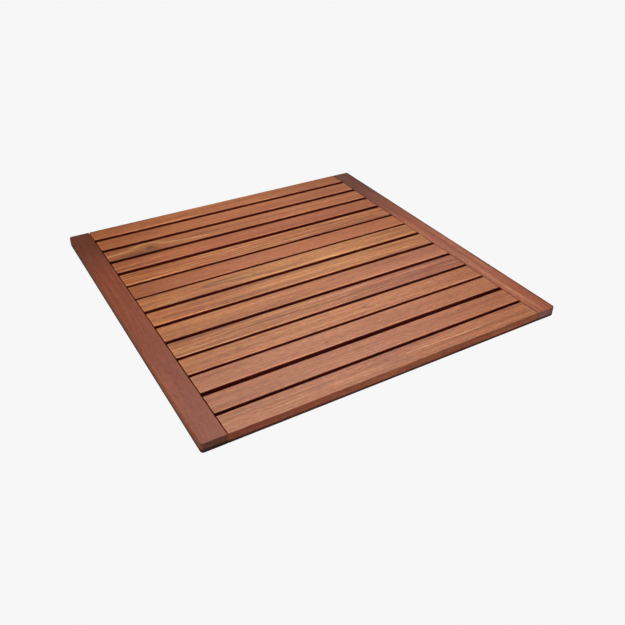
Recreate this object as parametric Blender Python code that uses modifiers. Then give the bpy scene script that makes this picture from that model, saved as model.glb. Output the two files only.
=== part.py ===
"""A square slatted bath mat in oiled hardwood, on rubber feet.

Fourteen slats run between two end rails, which hold them by a mortise and tenon at each end. Three
bearers cross under the slats and are screwed to them from below, and nine rubber feet push into
holes in the bearers.

Metres. +X runs along the slats, +Y across them and +Z up. The origin is the middle of the mat, on
the floor.
"""

import math

import bmesh
import bpy
from mathutils import Matrix, Vector

# Overall size, rails included.
OVERALL_LENGTH = 0.610  # along the slats
OVERALL_WIDTH = 0.610  # across the slats

# The boards of the top, which all have one thickness.
BOARD_THICKNESS = 0.016
RAIL_WIDTH = 0.036
SLAT_COUNT = 14
SLAT_GAP = 0.0058
RIM_TRIM = 0.0015  # the first and last slats are cut this much narrower when the rim is trimmed
SHOULDER_GAP = 0.0005  # between a slat's shoulder and the rail

# Edges: the rim runs round the outside of the mat, and every other edge is only eased.
RIM_RADIUS = 0.0022
EDGE_EASE = 0.0009
CORNER_RADIUS = 0.0045
RIM_SEGMENTS = 3
CORNER_SEGMENTS = 4
SHARP_ANGLE = 40  # degrees: round pieces are shaded smooth up to here

# Mortise and tenon.
TENON_LENGTH = 0.012
TENON_SHOULDER = 0.005  # the step round the tenon, on all four sides

# Bearers.
BEARER_WIDTH = 0.038
BEARER_THICKNESS = 0.010
BEARER_END_INSET = 0.012  # from the mat's outside to the bearer's end
BEARER_TO_RAIL = 0.015  # from the rail's inner edge to the outer bearers
BEARER_EASE = 0.001
BEARER_EASE_SEGMENTS = 2

# Countersunk wood screws, with their heads just under the bearer's lower face.
SCREW_LENGTH = 0.019
SCREW_HEAD_RADIUS = 0.0035
SCREW_HEAD_DEPTH = 0.0024
SCREW_HEAD_RIM = 0.0004
SCREW_SHANK_RADIUS = 0.0018
SCREW_TIP_LENGTH = 0.003
SCREW_SINK = 0.0004  # how far the head lies inside the bearer
SCREW_STAGGER = 0.008  # screws stand this far from the bearer's middle line, on alternate sides
OUTER_SCREW_SHIFT = 0.0045  # the outer slats' screws stand this far inward, clear of the bearer's end
SCREW_SIDES = 12
CENTRE_SCREW_SLATS = (1, 5, 10, 14)  # the middle bearer only stops sagging, and takes four screws

# Push-in rubber feet.
FOOT_RADIUS = 0.010
FOOT_HEIGHT = 0.003
FOOT_EDGE = 0.001
FOOT_STEM_RADIUS = 0.003
FOOT_STEM_LENGTH = 0.0055
FOOT_SIDES = 16

FIT_GAP = 0.0003  # clearance between pieces that touch
CUT_OVERRUN = 0.002  # how far a cutter stands out of the face it enters
SAME_PLACE = 1e-6  # numbers closer than this are one place
MERGE_DISTANCE = 1e-5

# Colour, roughness and metallic value of each material.
MATERIALS = {
    "slat_wood": ((0.42, 0.17, 0.085), 0.5, 0.0),
    "rail_wood": ((0.29, 0.10, 0.055), 0.5, 0.0),
    "bearer_wood": ((0.34, 0.14, 0.075), 0.6, 0.0),
    "foot_rubber": ((0.03, 0.028, 0.027), 0.8, 0.0),
    "screw_steel": ((0.62, 0.61, 0.59), 0.3, 1.0),
}

# What follows from them.
SLAT_WIDTH = (OVERALL_WIDTH - (SLAT_COUNT - 1) * SLAT_GAP + 2 * RIM_TRIM) / SLAT_COUNT
SLAT_PITCH = SLAT_WIDTH + SLAT_GAP
RAIL_INNER_X = OVERALL_LENGTH / 2 - RAIL_WIDTH
SLAT_LENGTH = 2 * (RAIL_INNER_X - SHOULDER_GAP)  # shoulder to shoulder
BEARER_LENGTH = OVERALL_WIDTH - 2 * BEARER_END_INSET
BEARER_BOTTOM = FOOT_HEIGHT + FIT_GAP
BEARER_TOP = BEARER_BOTTOM + BEARER_THICKNESS
BOARD_BOTTOM = BEARER_TOP + FIT_GAP
BOARD_MIDDLE = BOARD_BOTTOM + BOARD_THICKNESS / 2
OUTER_BEARER_X = RAIL_INNER_X - BEARER_TO_RAIL - BEARER_WIDTH / 2
BEARERS = {"left": -OUTER_BEARER_X, "centre": 0.0, "right": OUTER_BEARER_X}


def slat_edges(number):
    """(front, back) of a slat, counted from 1 at the front."""
    front = -OVERALL_WIDTH / 2 - RIM_TRIM + (number - 1) * SLAT_PITCH
    back = front + SLAT_WIDTH
    if number == 1:
        front += RIM_TRIM
    if number == SLAT_COUNT:
        back -= RIM_TRIM
    return front, back


def slat_middle(number):
    return sum(slat_edges(number)) / 2


def gap_middle(number):
    """The middle of the gap behind a slat."""
    return slat_edges(number)[1] + SLAT_GAP / 2


def screw_places(bearer):
    """Where the screws of a bearer stand, as {slat number: (x, y)}."""
    numbers = CENTRE_SCREW_SLATS if bearer == "centre" else range(1, SLAT_COUNT + 1)
    places = {}
    for number in numbers:
        x = BEARERS[bearer] + (SCREW_STAGGER if number % 2 else -SCREW_STAGGER)
        y = slat_middle(number)
        if number in (1, SLAT_COUNT):
            y -= math.copysign(OUTER_SCREW_SHIFT, y)
        places[number] = (x, y)
    return places


def foot_places(bearer):
    """Where the feet of a bearer stand: under the first, middle and last gaps, clear of its screws."""
    rows = {"front": 1, "middle": SLAT_COUNT // 2, "back": SLAT_COUNT - 1}
    return {row: (BEARERS[bearer], gap_middle(number)) for row, number in rows.items()}


def clear_scene():
    for thing in list(bpy.data.objects):
        bpy.data.objects.remove(thing)


def new_collection(name):
    collection = bpy.data.collections.new(name)
    bpy.context.scene.collection.children.link(collection)
    return collection


def new_material(name):
    colour, roughness, metallic = MATERIALS[name]
    material = bpy.data.materials.new(name)
    material.use_nodes = True
    shader = material.node_tree.nodes["Principled BSDF"]
    shader.inputs["Base Color"].default_value = (*colour, 1.0)
    shader.inputs["Roughness"].default_value = roughness
    shader.inputs["Metallic"].default_value = metallic
    return material


def new_object(name, mesh, collection, location=(0, 0, 0), material=None):
    mesh.name = name
    thing = bpy.data.objects.new(name, mesh)
    thing.location = location
    collection.objects.link(thing)
    if material:
        mesh.materials.append(material)
    return thing


def new_cutter(name, mesh, collection):
    cutter = new_object(name, mesh, collection)
    cutter.hide_render = True
    cutter.display_type = "WIRE"
    return cutter


def mesh_of(form, name):
    mesh = bpy.data.meshes.new(name)
    form.to_mesh(mesh)
    form.free()
    return mesh


def box_form(size):
    form = bmesh.new()
    bmesh.ops.create_cube(form, size=1.0, matrix=Matrix.Diagonal((*size, 1.0)))
    return form


def cut(thing, cutter):
    modifier = thing.modifiers.new("cut_" + cutter.name, "BOOLEAN")
    modifier.operation = "DIFFERENCE"
    modifier.solver = "EXACT"
    modifier.object = cutter


def round_weighted_edges(thing, width, segments):
    """Rounds each edge by its bevel weight's share of the width."""
    modifier = thing.modifiers.new("rounded_edges", "BEVEL")
    modifier.limit_method = "WEIGHT"
    modifier.width = width
    modifier.segments = segments


def weigh_edges(form, weight_of):
    """Gives each edge the bevel weight that weight_of says for it."""
    weights = form.edges.layers.float.new("bevel_weight_edge")
    for edge in form.edges:
        edge[weights] = weight_of(edge)


def turned(name, profile, sides):
    """The mesh of a profile turned about Z. Its (radius, height) points run down its outer side."""
    line = bmesh.new()
    points = [line.verts.new((radius, 0, height)) for radius, height in profile]
    for upper, lower in zip(points, points[1:]):
        line.edges.new((upper, lower))
    guide = bpy.data.objects.new(name + "_profile", mesh_of(line, name + "_profile"))
    bpy.context.scene.collection.objects.link(guide)
    modifier = guide.modifiers.new("turn", "SCREW")
    modifier.steps = modifier.render_steps = sides
    modifier.use_merge_vertices = True
    modifier.merge_threshold = MERGE_DISTANCE
    modifier.use_smooth_shade = False
    shape = bpy.data.meshes.new_from_object(guide.evaluated_get(bpy.context.evaluated_depsgraph_get()))
    shape.name = name
    bpy.data.objects.remove(guide)
    shape.shade_smooth()
    shape.set_sharp_from_angle(angle=math.radians(SHARP_ANGLE))
    return shape


def copies_of(name, shape, places):
    """One mesh with a copy of the shape at each place."""
    form = bmesh.new()
    for place in places:
        before = set(form.verts)
        form.from_mesh(shape)
        added = [vertex for vertex in form.verts if vertex not in before]
        bmesh.ops.translate(form, verts=added, vec=Vector(place))
    return mesh_of(form, name)


def make_slat(number, collection, cutters, material, pilot):
    """A slat with a tenon at each end and pilot holes in its lower face."""
    front, back = slat_edges(number)
    width = back - front
    form = box_form((SLAT_LENGTH, width, BOARD_THICKNESS))
    ends = [face for face in form.faces if abs(face.normal.x) > 0.5]
    bmesh.ops.inset_individual(form, faces=ends, thickness=TENON_SHOULDER, use_even_offset=True)
    tenons = bmesh.ops.extrude_discrete_faces(form, faces=ends)["faces"]
    for tenon in tenons:
        step = math.copysign(TENON_LENGTH, tenon.calc_center_median().x)
        bmesh.ops.translate(form, verts=tenon.verts, vec=(step, 0, 0))

    def weight_of(edge):
        a, b = (vertex.co for vertex in edge.verts)
        if any(abs(abs(point.z) - BOARD_THICKNESS / 2) > SAME_PLACE for point in (a, b)):
            return 0.0  # upright, or round the tenon
        outer = min(a.y, b.y) > 0 if number == SLAT_COUNT else max(a.y, b.y) < 0
        if number in (1, SLAT_COUNT) and outer:
            return 1.0
        return EDGE_EASE / RIM_RADIUS

    weigh_edges(form, weight_of)
    slat = new_object(
        f"slat_{number:02d}",
        mesh_of(form, f"slat_{number:02d}"),
        collection,
        (0, (front + back) / 2, BOARD_MIDDLE),
        material,
    )
    round_weighted_edges(slat, RIM_RADIUS, RIM_SEGMENTS)
    places = [
        (*screw_places(bearer)[number], 0) for bearer in BEARERS if number in screw_places(bearer)
    ]
    cut(slat, new_cutter(f"pilots_{number:02d}", copies_of("pilots", pilot, places), cutters))
    return slat


def make_rail(side, collection, cutters, material):
    """An end rail, with rounded outer corners and a mortise for each slat. side is -1 for the left."""
    name = "rail_left" if side < 0 else "rail_right"
    form = box_form((RAIL_WIDTH, OVERALL_WIDTH, BOARD_THICKNESS))
    corners = [
        edge
        for edge in form.edges
        if all(vertex.co.x * side > 0 for vertex in edge.verts)
        and abs(edge.verts[0].co.z - edge.verts[1].co.z) > BOARD_THICKNESS / 2
    ]
    bmesh.ops.bevel(
        form, geom=corners, offset=CORNER_RADIUS, segments=CORNER_SEGMENTS, profile=0.5, affect="EDGES"
    )

    def weight_of(edge):
        a, b = (vertex.co for vertex in edge.verts)
        if abs(a.z - b.z) > SAME_PLACE:
            return 0.0
        inner = all(abs(point.x * side + RAIL_WIDTH / 2) < SAME_PLACE for point in (a, b))
        return EDGE_EASE / RIM_RADIUS if inner else 1.0

    weigh_edges(form, weight_of)
    middle_x = side * (RAIL_INNER_X + RAIL_WIDTH / 2)
    rail = new_object(name, mesh_of(form, name), collection, (middle_x, 0, BOARD_MIDDLE), material)
    round_weighted_edges(rail, RIM_RADIUS, RIM_SEGMENTS)

    mortises = bmesh.new()
    reach = TENON_LENGTH - SHOULDER_GAP + FIT_GAP  # into the rail
    height = BOARD_THICKNESS - 2 * TENON_SHOULDER + 2 * FIT_GAP
    for number in range(1, SLAT_COUNT + 1):
        front, back = slat_edges(number)
        width = back - front - 2 * TENON_SHOULDER + 2 * FIT_GAP
        place = (side * (RAIL_INNER_X + (reach - CUT_OVERRUN) / 2), (front + back) / 2, BOARD_MIDDLE)
        size = (reach + CUT_OVERRUN, width, height)
        bmesh.ops.create_cube(
            mortises, size=1.0, matrix=Matrix.Translation(place) @ Matrix.Diagonal((*size, 1.0))
        )
    cut(rail, new_cutter(name + "_mortises", mesh_of(mortises, "mortises"), cutters))
    return rail


def make_bearer(place, collection, cutters, material, screw_hole, stem_hole):
    """A bearer, with a countersunk hole for each screw and a blind hole for each foot."""
    name = "bearer_" + place
    form = box_form((BEARER_WIDTH, BEARER_LENGTH, BEARER_THICKNESS))
    weigh_edges(form, lambda edge: 1.0 if max(v.co.z for v in edge.verts) < 0 else 0.0)
    middle = (BEARERS[place], 0, BEARER_BOTTOM + BEARER_THICKNESS / 2)
    bearer = new_object(name, mesh_of(form, name), collection, middle, material)
    round_weighted_edges(bearer, BEARER_EASE, BEARER_EASE_SEGMENTS)
    screws = [(x, y, BEARER_BOTTOM) for x, y in screw_places(place).values()]
    feet = [(x, y, BEARER_BOTTOM) for x, y in foot_places(place).values()]
    cut(bearer, new_cutter(name + "_screw_holes", copies_of("screw_holes", screw_hole, screws), cutters))
    cut(bearer, new_cutter(name + "_foot_holes", copies_of("foot_holes", stem_hole, feet), cutters))
    return bearer


def screw_profile():
    """Head down at height 0, tip up."""
    return [
        (0, SCREW_LENGTH),
        (SCREW_SHANK_RADIUS, SCREW_LENGTH - SCREW_TIP_LENGTH),
        (SCREW_SHANK_RADIUS, SCREW_HEAD_DEPTH),
        (SCREW_HEAD_RADIUS, SCREW_HEAD_RIM),
        (SCREW_HEAD_RADIUS, 0),
        (0, 0),
    ]


def screw_hole_profile():
    """The screw with clearance, from under the bearer's lower face to over its upper one."""
    radius = SCREW_SHANK_RADIUS + FIT_GAP
    head = SCREW_HEAD_RADIUS + FIT_GAP
    return [
        (0, BEARER_THICKNESS + CUT_OVERRUN),
        (radius, BEARER_THICKNESS + CUT_OVERRUN),
        (radius, SCREW_SINK + SCREW_HEAD_DEPTH),
        (head, SCREW_SINK + SCREW_HEAD_RIM),
        (head, -CUT_OVERRUN),
        (0, -CUT_OVERRUN),
    ]


def pilot_profile():
    """The blind hole in a slat's lower face, at its height in the mat."""
    top = BEARER_BOTTOM + SCREW_SINK + SCREW_LENGTH + FIT_GAP
    radius = SCREW_SHANK_RADIUS + FIT_GAP
    return [
        (0, top),
        (radius, top - SCREW_TIP_LENGTH),
        (radius, BOARD_BOTTOM - CUT_OVERRUN),
        (0, BOARD_BOTTOM - CUT_OVERRUN),
    ]


def foot_profile():
    """A round pad with a rolled lower edge and a stem."""
    top = FOOT_HEIGHT + FOOT_STEM_LENGTH
    halfway = FOOT_EDGE * (1 - math.sqrt(0.5))  # the middle of the rolled edge, from both its faces
    return [
        (0, top),
        (FOOT_STEM_RADIUS, top),
        (FOOT_STEM_RADIUS, FOOT_HEIGHT),
        (FOOT_RADIUS, FOOT_HEIGHT),
        (FOOT_RADIUS, FOOT_EDGE),
        (FOOT_RADIUS - halfway, halfway),
        (FOOT_RADIUS - FOOT_EDGE, 0),
        (0, 0),
    ]


def stem_hole_profile():
    """The blind hole for a foot's stem, from under the bearer's lower face."""
    radius = FOOT_STEM_RADIUS + FIT_GAP
    return [
        (0, FOOT_STEM_LENGTH),
        (radius, FOOT_STEM_LENGTH),
        (radius, -CUT_OVERRUN),
        (0, -CUT_OVERRUN),
    ]


def main():
    clear_scene()
    mat = new_collection("bath_mat")
    cutters = new_collection("cutters")

    wood = {piece: new_material(piece + "_wood") for piece in ("slat", "rail", "bearer")}
    rubber = new_material("foot_rubber")
    steel = new_material("screw_steel")

    pilot = turned("pilot_hole", pilot_profile(), SCREW_SIDES)
    screw_hole = turned("screw_hole", screw_hole_profile(), SCREW_SIDES)
    stem_hole = turned("stem_hole", stem_hole_profile(), FOOT_SIDES)
    screw = turned("wood_screw", screw_profile(), SCREW_SIDES)
    foot = turned("push_in_foot", foot_profile(), FOOT_SIDES)

    for side in (-1, 1):
        make_rail(side, mat, cutters, wood["rail"])
    for number in range(1, SLAT_COUNT + 1):
        make_slat(number, mat, cutters, wood["slat"], pilot)
    for place in BEARERS:
        make_bearer(place, mat, cutters, wood["bearer"], screw_hole, stem_hole)
        for number, (x, y) in screw_places(place).items():
            spot = (x, y, BEARER_BOTTOM + SCREW_SINK)
            new_object(f"screw_{place}_{number:02d}", screw.copy(), mat, spot, steel)
        for row, (x, y) in foot_places(place).items():
            new_object(f"foot_{place}_{row}", foot.copy(), mat, (x, y, 0), rubber)


main()
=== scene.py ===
# Slatted bath mat in red-brown hardwood: fourteen slats between two end rails, on bearers and feet.
import math

import bmesh
import bpy
from mathutils import Matrix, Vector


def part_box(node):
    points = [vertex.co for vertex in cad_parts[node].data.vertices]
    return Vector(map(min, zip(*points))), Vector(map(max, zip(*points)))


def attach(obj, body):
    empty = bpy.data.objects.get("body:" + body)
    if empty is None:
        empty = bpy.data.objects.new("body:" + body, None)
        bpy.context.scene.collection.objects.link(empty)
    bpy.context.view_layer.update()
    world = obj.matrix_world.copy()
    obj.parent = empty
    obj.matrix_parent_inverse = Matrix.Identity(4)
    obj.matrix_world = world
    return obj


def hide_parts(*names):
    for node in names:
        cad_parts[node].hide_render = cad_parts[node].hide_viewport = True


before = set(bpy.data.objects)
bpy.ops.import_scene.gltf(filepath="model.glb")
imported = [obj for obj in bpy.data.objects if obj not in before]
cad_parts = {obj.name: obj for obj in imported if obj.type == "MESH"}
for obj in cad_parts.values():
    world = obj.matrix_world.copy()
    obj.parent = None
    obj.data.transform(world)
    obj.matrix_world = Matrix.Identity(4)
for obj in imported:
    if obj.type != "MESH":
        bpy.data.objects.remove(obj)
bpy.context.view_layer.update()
mm = 0.001
perMetre = 1000  # mm in a metre
quarterTurn = math.pi / 2
fullTurn = 2 * math.pi
mergeGap = 0.002 * mm


class Wire:
    # holds a node's output, so that a sum written with it adds its own Math nodes
    def __init__(self, socket):
        self.socket = socket
        self.tree = socket.id_data

    def sum(self, operation, *terms):
        settings = {"operation": operation}
        return addNode(self.tree, "ShaderNodeMath", settings, dict(enumerate(terms)))

    def __add__(self, other):
        return self.sum("ADD", self, other)

    def __sub__(self, other):
        return self.sum("SUBTRACT", self, other)

    def __rsub__(self, other):
        return self.sum("SUBTRACT", other, self)

    def __mul__(self, other):
        return self.sum("MULTIPLY", self, other)

    def __truediv__(self, other):
        return self.sum("DIVIDE", self, other)

    def __pow__(self, other):
        return self.sum("POWER", self, other)

    def __neg__(self):
        return self.sum("MULTIPLY", self, -1.0)

    def __lt__(self, other):
        return self.sum("LESS_THAN", self, other)

    def __gt__(self, other):
        return self.sum("GREATER_THAN", self, other)

    __radd__ = __add__
    __rmul__ = __mul__


def addNode(tree, kind, settings=None, feeds=None, out=0):
    # one node: its settings first, then a value, a wire or a list of wires for each of its inputs
    node = tree.nodes.new(kind)
    for name, value in (settings or {}).items():
        if name == "stops":
            setStops(node.color_ramp.elements, value)
        elif name == "choices":
            while len(node.index_switch_items) < value:
                node.index_switch_items.new()
        else:
            setattr(node, name, value)
    for slot, value in (feeds or {}).items():
        if value is None:
            continue
        target = node.inputs[slot]
        if isinstance(value, (Wire, list)):
            for wire in value if isinstance(value, list) else [value]:
                tree.links.new(wire.socket, target)
        else:
            target.default_value = value
    return Wire(node.outputs[out]) if node.outputs else None


def setStops(elements, stops):
    while len(elements) < len(stops):
        elements.new(0.5)
    for element, (place, colour) in zip(elements, stops):
        element.position = place
        element.color = (*colour, 1.0)


def sine(angle):
    return angle.sum("SINE", angle)


def cosine(angle):
    return angle.sum("COSINE", angle)


def least(a, b):
    return a.sum("MINIMUM", a, b)


def most(a, b):
    return a.sum("MAXIMUM", a, b)


def magnitude(a):
    return a.sum("ABSOLUTE", a)


def held(value, low, high):
    return least(most(value, low), high)


def between(a, b, share):
    # from a to b as share goes from 0 to 1
    return share * (b - a) + a


def ramp(value, low, high):
    # 0 below low, 1 above high, and smooth in between
    feeds = {"Value": value, "From Min": low, "From Max": high}
    settings = {"interpolation_type": "SMOOTHSTEP"}
    return addNode(value.tree, "ShaderNodeMapRange", settings, feeds)


def bell(x, y=None):
    # 1 where x and y are 0, and less all round
    power = -(x * x) if y is None else -(x * x) - y * y
    return power.sum("EXPONENT", power)


def vector(tree, x, y, z):
    return addNode(tree, "ShaderNodeCombineXYZ", None, {0: x, 1: y, 2: z})


def parts(wire):
    return [addNode(wire.tree, "ShaderNodeSeparateXYZ", None, {0: wire}, out) for out in range(3)]


def newTree(name, inputs, takesMesh=False):
    # a Geometry Nodes group with named inputs, and a wire for each
    tree = bpy.data.node_groups.new(name, "GeometryNodeTree")
    if takesMesh:
        tree.interface.new_socket("Points", in_out="INPUT", socket_type="NodeSocketGeometry")
    for label, start in inputs.items():
        kind = "NodeSocketMaterial" if start is None else "NodeSocketFloat"
        if isinstance(start, tuple):
            kind = "NodeSocketVector"
        socket = tree.interface.new_socket(label, in_out="INPUT", socket_type=kind)
        if start is not None:
            socket.default_value = start
    tree.interface.new_socket("Mesh", in_out="OUTPUT", socket_type="NodeSocketGeometry")
    entry = addNode(tree, "NodeGroupInput").socket.node
    wires = {socket.name: Wire(socket) for socket in entry.outputs if socket.name}
    return tree, wires


def endTree(tree, mesh, material):
    # every tree ends in real geometry with its material on it
    mesh = addNode(tree, "GeometryNodeRealizeInstances", None, {0: mesh})
    feeds = {"Geometry": mesh, "Material": material}
    mesh = addNode(tree, "GeometryNodeSetMaterial", None, feeds)
    addNode(tree, "NodeGroupOutput", None, {0: mesh})


def gridCounts(tree, across, along):
    # a grid whose two counts, from 0 up, come back as wires
    feeds = {"Size X": across, "Size Y": along, "Vertices X": across + 1, "Vertices Y": along + 1}
    grid = addNode(tree, "GeometryNodeMeshGrid", None, feeds)
    place = parts(addNode(tree, "GeometryNodeInputPosition"))
    return grid, place[0] + across / 2, place[1] + along / 2


def bent(tree, mesh, place):
    # moves each point of a mesh to its place, and closes the seams
    mesh = addNode(tree, "GeometryNodeSetPosition", None, {"Geometry": mesh, "Position": place})
    feeds = {"Geometry": mesh, "Distance": mergeGap}
    return addNode(tree, "GeometryNodeMergeByDistance", None, feeds)


def combined(tree, operation, first, *others):
    # joins solids, or takes the others out of the first
    settings = {"operation": operation, "solver": "MANIFOLD"}
    feeds = {"Mesh 1": first, "Mesh 2": list(others)}
    return addNode(tree, "GeometryNodeMeshBoolean", settings, feeds)


def madeFrom(tree, name, inputs, points=None):
    # runs a tree once with these inputs, and gives its result as a plain object
    mesh = bpy.data.meshes.new(name)
    if points:
        mesh.from_pydata(points, [], [])
    thing = bpy.data.objects.new(name, mesh)
    bpy.context.scene.collection.objects.link(thing)
    modifier = thing.modifiers.new(tree.name, "NODES")
    modifier.node_group = tree
    sockets = [item for item in tree.interface.items_tree if item.in_out == "INPUT"]
    keys = {item.name: item.identifier for item in sockets}
    for label, value in inputs.items():
        modifier[keys[label]] = value
    graph = bpy.context.evaluated_depsgraph_get()
    result = bpy.data.meshes.new_from_object(thing.evaluated_get(graph))
    thing.modifiers.remove(modifier)
    finish = result.materials[-1]
    result.materials.clear()
    result.materials.append(finish)
    result.polygons.foreach_set("material_index", [0] * len(result.polygons))
    thing.data = result
    result.name = name
    bpy.data.meshes.remove(mesh)
    return thing


boardMesh = {
    "stepsAlong": 112,  # quads along a long side
    "stepsAcross": 8,  # quads along an end
    "cornerSteps": 5,
    "arrisSteps": 5,
    "support": 0.25 * mm,  # a ring this far past each arris keeps the flat faces flat
    "wearSize": 55.0,  # nicks and hollows per metre along an arris
    "wearBand": (0.42, 0.78),  # the noise from which wear begins and at which it is full
    "endGrainBand": (0.6, 0.85),  # how far a face turns towards the end to count as cut grain
    "tongueLift": 0.3 * mm,  # of the tenon's underside above the board's
}


def makeBoardTree():
    # The outline runs round the board. At each point of it a profile runs from the middle of the
    # top face out over the arris, down the side and back to the middle of the bottom face.
    s = boardMesh
    tree, given = newTree("board", {
        "Length": 0.5, "Width": 0.04, "Thickness": 0.016,
        "Front arris": mm, "Back arris": mm, "Left arris": mm, "Right arris": mm,
        "Lower share": 1.0, "Front corners": mm, "Back corners": mm, "Wear": 0.0, "Seed": 0.0,
        "Tenon": 0.0, "Tenon shoulder": 5 * mm, "Groove depth": 4 * mm,
        "Middle": (0.0, 0.0, 0.0), "Turn": (0.0, 0.0, 0.0), "Material": None,
    })
    length, width = given["Length"], given["Width"]
    long, end, corner, arc = s["stepsAlong"], s["stepsAcross"], s["cornerSteps"], s["arrisSteps"]
    half = long + end + 2 * corner
    rings = 2 * arc + 5
    grid, around, down = gridCounts(tree, 2 * half, rings)

    # along the outline: a long side, a corner, an end and a corner, then the same turned half round
    isBack = (around > half - 0.5) * (around < 2 * half - 0.5)
    step = around - isBack * half - (around > 2 * half - 0.5) * (2 * half)
    onLong = held(step / long, 0.0, 1.0)
    firstTurn = held((step - long) / corner, 0.0, 1.0) * quarterTurn
    onEnd = held((step - long - corner) / end, 0.0, 1.0)
    lastTurn = held((step - long - corner - end) / corner, 0.0, 1.0) * quarterTurn
    nearRound = between(given["Front corners"], given["Back corners"], isBack)
    farRound = between(given["Back corners"], given["Front corners"], isBack)

    # the lower arrises are a share of the upper ones
    isLower = down > rings / 2
    share = between(1.0, given["Lower share"], isLower)
    nearArris = between(given["Front arris"], given["Back arris"], isBack) * share
    farArris = between(given["Back arris"], given["Front arris"], isBack) * share
    aheadArris = between(given["Right arris"], given["Left arris"], isBack) * share
    behindArris = between(given["Left arris"], given["Right arris"], isBack) * share

    halfLength = length / 2
    halfWidth = width / 2
    x = nearRound - halfLength + onLong * (length - nearRound * 2)
    x = x + nearRound * sine(firstTurn) - farRound * (1 - cosine(lastTurn))
    y = nearRound * (1 - cosine(firstTurn)) - halfWidth
    y = y + onEnd * (width - nearRound - farRound) + farRound * sine(lastTurn)
    turned = firstTurn + lastTurn
    outX = sine(turned)
    outY = -cosine(turned)
    arris = between(nearArris, aheadArris, firstTurn / quarterTurn)
    arris = between(arris, farArris, lastTurn / quarterTurn)

    # down the profile: middle, support, arc, support, support, arc, support, middle
    level = least(down, -down + rings)
    roll = held((level - 2) / arc, 0.0, 1.0) * quarterTurn
    rise = 1 - isLower * 2
    depthShare = 1 - sine(roll)
    onTop = (level < 1.5) * s["support"]
    onSide = (level > arc + 2.5) * s["support"]
    z = given["Thickness"] / 2 - arris * (1 - cosine(roll)) - onSide
    depthX = between(behindArris, aheadArris, x > 0.0) * depthShare + onTop
    depthY = between(nearArris, farArris, y > 0.0) * depthShare + onTop
    limitX = halfLength - depthX
    limitY = halfWidth - depthY
    x = held(x - outX * depthX, -limitX, limitX)
    y = held(y - outY * depthY, -limitY, limitY)

    # wear takes a little off the arrises, more in some places than in others
    wornY = y * s["wearSize"] * 3 + given["Seed"]
    spot = vector(tree, x * s["wearSize"], wornY, rise + isBack * 7)
    feeds = {"Vector": spot, "Scale": 1.0, "Detail": 3.0}
    rubbed = addNode(tree, "ShaderNodeTexNoise", None, feeds)
    rubbed = given["Wear"] * ramp(rubbed, *s["wearBand"]) * sine(roll * 2)
    x = x - outX * rubbed * sine(roll)
    y = y - outY * rubbed * sine(roll)
    z = (z - rubbed * cosine(roll)) * rise

    # the innermost ring is drawn in to the board's middle line
    isMiddle = level < 0.5
    spine = halfLength - halfWidth
    x = between(x, spine * (onLong * 2 - 1), isMiddle)
    y = y * (1 - isMiddle)
    flip = 1 - isBack * 2
    place = vector(tree, x * flip, y * flip, z)

    # the ends are marked, where the wood is cut across its grain, before the grid is bent
    endShare = ramp(magnitude(outX) * sine(roll), *s["endGrainBand"])
    settings = {"data_type": "FLOAT", "domain": "POINT"}
    feeds = {"Geometry": grid, "Name": "endGrain", "Value": endShare}
    mesh = addNode(tree, "GeometryNodeStoreNamedAttribute", settings, feeds)
    mesh = bent(tree, mesh, place)
    mesh = addNode(tree, "GeometryNodeFlipFaces", None, {"Mesh": mesh})
    mesh = addNode(tree, "GeometryNodeSetShadeSmooth", None, {"Geometry": mesh})

    # the start of the tenon closes the slit where the end meets its neighbour
    lift, groove = s["tongueLift"], given["Groove depth"]
    tongueLength = length + given["Tenon"] * 2
    tongueWidth = width - given["Tenon shoulder"] * 2
    tongue = vector(tree, tongueLength, tongueWidth, given["Thickness"] - groove - lift)
    tongue = addNode(tree, "GeometryNodeMeshCube", None, {"Size": tongue})
    feeds = {"Geometry": tongue, "Translation": vector(tree, 0.0, 0.0, (lift - groove) / 2)}
    tongue = addNode(tree, "GeometryNodeTransform", None, feeds)
    joined = combined(tree, "UNION", None, mesh, tongue)
    feeds = {"Switch": given["Tenon"] > 0.0, "False": mesh, "True": joined}
    mesh = addNode(tree, "GeometryNodeSwitch", {"input_type": "GEOMETRY"}, feeds)
    feeds = {"Geometry": mesh, "Translation": given["Middle"], "Rotation": given["Turn"]}
    mesh = addNode(tree, "GeometryNodeTransform", None, feeds)
    endTree(tree, mesh, given["Material"])
    return tree


boardTree = makeBoardTree()
print("board tree ready")


def picked(tree, index, values):
    # the value at this place in a list
    settings = {"data_type": "FLOAT", "choices": len(values)}
    feeds = {place + 1: value for place, value in enumerate(values)}
    return addNode(tree, "GeometryNodeIndexSwitch", settings, {0: index, **feeds})


def turnedShape(tree, profile, sides):
    # turns a profile of (radius, height) points in mm about the Z axis, as on a lathe
    grid, around, down = gridCounts(tree, sides, len(profile) - 1)
    down = down.sum("ROUND", down)
    radius = picked(tree, down, [point[0] * mm for point in profile])
    height = picked(tree, down, [point[1] * mm for point in profile])
    angle = around * (fullTurn / sides)
    return bent(tree, grid, vector(tree, radius * cosine(angle), radius * sine(angle), height))


def softEdges(tree, mesh, angle):
    # smooth shading, with a crisp line where two faces meet at more than this angle in degrees
    mesh = addNode(tree, "GeometryNodeSetShadeSmooth", None, {"Geometry": mesh})
    sharp = addNode(tree, "GeometryNodeInputMeshEdgeAngle") > math.radians(angle)
    feeds = {"Geometry": mesh, "Selection": sharp, "Shade Smooth": False}
    return addNode(tree, "GeometryNodeSetShadeSmooth", {"domain": "EDGE"}, feeds)


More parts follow.
